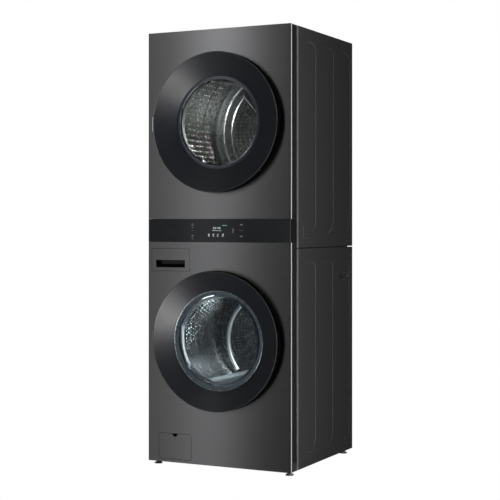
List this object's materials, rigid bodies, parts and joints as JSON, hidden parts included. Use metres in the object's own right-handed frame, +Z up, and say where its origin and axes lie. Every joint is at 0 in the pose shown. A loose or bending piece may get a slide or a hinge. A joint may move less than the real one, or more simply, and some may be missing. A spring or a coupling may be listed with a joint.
{
  "type": "washer dryer stack",
  "caption": "Full-height stacked laundry tower: front-loading washer below, dryer above, shared touch band between, round glass doors, detergent drawer and service flap.",
  "frame": {"origin": "on the floor under the middle of the bounding box", "axes": "+X to the right seen from the front, +Y to the rear, +Z up; the doors face -Y"},
  "size_m": [0.686, 0.772, 1.889],
  "materials": {
    "front_steel": "satin brushed dark stainless",
    "side_paint": "satin",
    "frame_black": "satin",
    "rear_steel": "satin galvanised",
    "foot_plastic": "matte",
    "band_glass": "gloss",
    "band_plastic": "gloss",
    "board": "matte",
    "drawer_skin": "satin brushed dark stainless",
    "flap_skin": "satin",
    "door_gloss": "gloss",
    "door_plastic": "satin",
    "door_glass": "polished",
    "hinge_metal": "satin",
    "dark_plastic": "matte",
    "light_plastic": "matte",
    "filter_plastic": "satin",
    "lifter_plastic": "satin",
    "rubber": "matte",
    "cast_weight": "rough cast",
    "drum_steel": "polished stainless",
    "cast_aluminium": "cast",
    "galvanised": "galvanised",
    "motor_paint": "satin"
  },
  "bodies": {
    "cabinet": {"washer_front_panel": "front_steel", "dryer_front_panel": "front_steel", "washer_side_left": "side_paint", "washer_side_right": "side_paint", "dryer_side_left": "side_paint", "dryer_side_right": "side_paint", "top_cover": "side_paint", "front_frame": "frame_black", "base_frame": "frame_black", "washer_rear_panel": "rear_steel", "dryer_rear_panel": "rear_steel", "middle_deck": "rear_steel", "dryer_front_bulkhead": "rear_steel", "control_glass": "band_glass", "control_housing": "band_plastic", "control_board": "board", "door_hinge_leaves": "hinge_metal", "door_locks": "dark_plastic", "dispenser_housing": "dark_plastic", "drain_pump": "dark_plastic", "blower_housing": "dark_plastic", "tub_front": "light_plastic", "tub_rear": "light_plastic", "inlet_valves": "light_plastic", "door_gasket": "rubber", "drive_belt": "rubber", "counterweights": "cast_weight", "dryer_rear_bulkhead": "drum_steel", "exhaust_duct": "galvanised", "heater_duct": "galvanised", "tub_suspension": "galvanised", "motor_stator": "motor_paint", "dryer_motor": "motor_paint"},
    "washer_door": {"washer_door_ring": "door_gloss", "washer_door_frame": "door_plastic", "washer_door_bowl": "door_glass", "washer_hinge_arm": "hinge_metal"},
    "dryer_door": {"dryer_door_ring": "door_gloss", "dryer_door_frame": "door_plastic", "dryer_door_window": "door_glass", "dryer_hinge_arm": "hinge_metal"},
    "detergent_drawer": {"drawer_front": "drawer_skin", "drawer_tray": "light_plastic"},
    "service_flap": {"filter_flap": "flap_skin"},
    "pump_filter": {"drain_filter": "filter_plastic"},
    "lint_screen": {"lint_filter": "filter_plastic"},
    "washer_drum_group": {"washer_drum": "drum_steel", "washer_lifters": "lifter_plastic", "drum_shaft": "cast_aluminium", "motor_rotor": "cast_aluminium"},
    "dryer_drum_group": {"dryer_drum": "drum_steel", "dryer_lifters": "lifter_plastic"},
    "blower_shaft": {"motor_shaft": "motor_paint"},
    "idler": {"idler_pulley": "motor_paint"},
    "roller_left": {"drum_roller_left": "rubber"},
    "roller_right": {"drum_roller_right": "rubber"},
    "foot_fl": {"foot_front_left": "foot_plastic"},
    "foot_fr": {"foot_front_right": "foot_plastic"},
    "foot_rl": {"foot_rear_left": "foot_plastic"},
    "foot_rr": {"foot_rear_right": "foot_plastic"}
  },
  "joints": [
    {"name": "washer_door_hinge", "type": "hinge", "parent": "cabinet", "child": "washer_door", "pos_m": [-0.306, -0.368, 0.554], "axis": [0, 0, -1], "range_deg": [0, 135]},
    {"name": "dryer_door_hinge", "type": "hinge", "parent": "cabinet", "child": "dryer_door", "pos_m": [-0.306, -0.368, 1.488], "axis": [0, 0, -1], "range_deg": [0, 135]},
    {"name": "drawer_slide", "type": "slide", "parent": "cabinet", "child": "detergent_drawer", "axis": [0, -1, 0], "range_m": [0, 0.25]},
    {"name": "service_flap_hinge", "type": "hinge", "parent": "cabinet", "child": "service_flap", "pos_m": [-0.20925, -0.346, 0.041], "axis": [1, 0, 0], "range_deg": [0, 90]},
    {"name": "pump_filter_twist", "type": "hinge", "parent": "cabinet", "child": "pump_filter", "pos_m": [-0.20925, -0.328, 0.088], "axis": [0, -1, 0], "range_deg": [0, 270]},
    {"name": "lint_filter_lift", "type": "slide", "parent": "cabinet", "child": "lint_screen", "axis": [0, 0, 1], "range_m": [0, 0.2]},
    {"name": "washer_drum_spin", "type": "hinge", "parent": "cabinet", "child": "washer_drum_group", "pos_m": [0, 0.202, 0.554], "axis": [0, 1, 0], "continuous": true},
    {"name": "dryer_drum_spin", "type": "hinge", "parent": "cabinet", "child": "dryer_drum_group", "pos_m": [0, -0.012, 1.488], "axis": [0, 1, 0], "continuous": true},
    {"name": "motor_shaft_spin", "type": "hinge", "parent": "cabinet", "child": "blower_shaft", "pos_m": [0.09, -0.15, 1.0615], "axis": [0, 1, 0], "continuous": true},
    {"name": "idler_spin", "type": "hinge", "parent": "cabinet", "child": "idler", "pos_m": [-0.02, -0.012, 1.0515], "axis": [0, 1, 0], "continuous": true},
    {"name": "roller_left_spin", "type": "hinge", "parent": "cabinet", "child": "roller_left", "pos_m": [-0.17565, 0.202, 1.18376], "axis": [0, 1, 0], "continuous": true},
    {"name": "roller_right_spin", "type": "hinge", "parent": "cabinet", "child": "roller_right", "pos_m": [0.17565, 0.202, 1.18376], "axis": [0, 1, 0], "continuous": true},
    {"name": "foot_front_left_screw", "type": "slide", "parent": "cabinet", "child": "foot_fl", "axis": [0, 0, -1], "range_m": [0, 0.015]},
    {"name": "foot_front_right_screw", "type": "slide", "parent": "cabinet", "child": "foot_fr", "axis": [0, 0, -1], "range_m": [0, 0.015]},
    {"name": "foot_rear_left_screw", "type": "slide", "parent": "cabinet", "child": "foot_rl", "axis": [0, 0, -1], "range_m": [0, 0.015]},
    {"name": "foot_rear_right_screw", "type": "slide", "parent": "cabinet", "child": "foot_rr", "axis": [0, 0, -1], "range_m": [0, 0.015]}
  ],
  "couplings": [
    {"joint": "motor_shaft_spin", "follows": "dryer_drum_spin", "ratio": 21.825},
    {"joint": "idler_spin", "follows": "dryer_drum_spin", "ratio": 14.736},
    {"joint": "roller_left_spin", "follows": "dryer_drum_spin", "ratio": -9.0286},
    {"joint": "roller_right_spin", "follows": "dryer_drum_spin", "ratio": -9.0286}
  ]
}
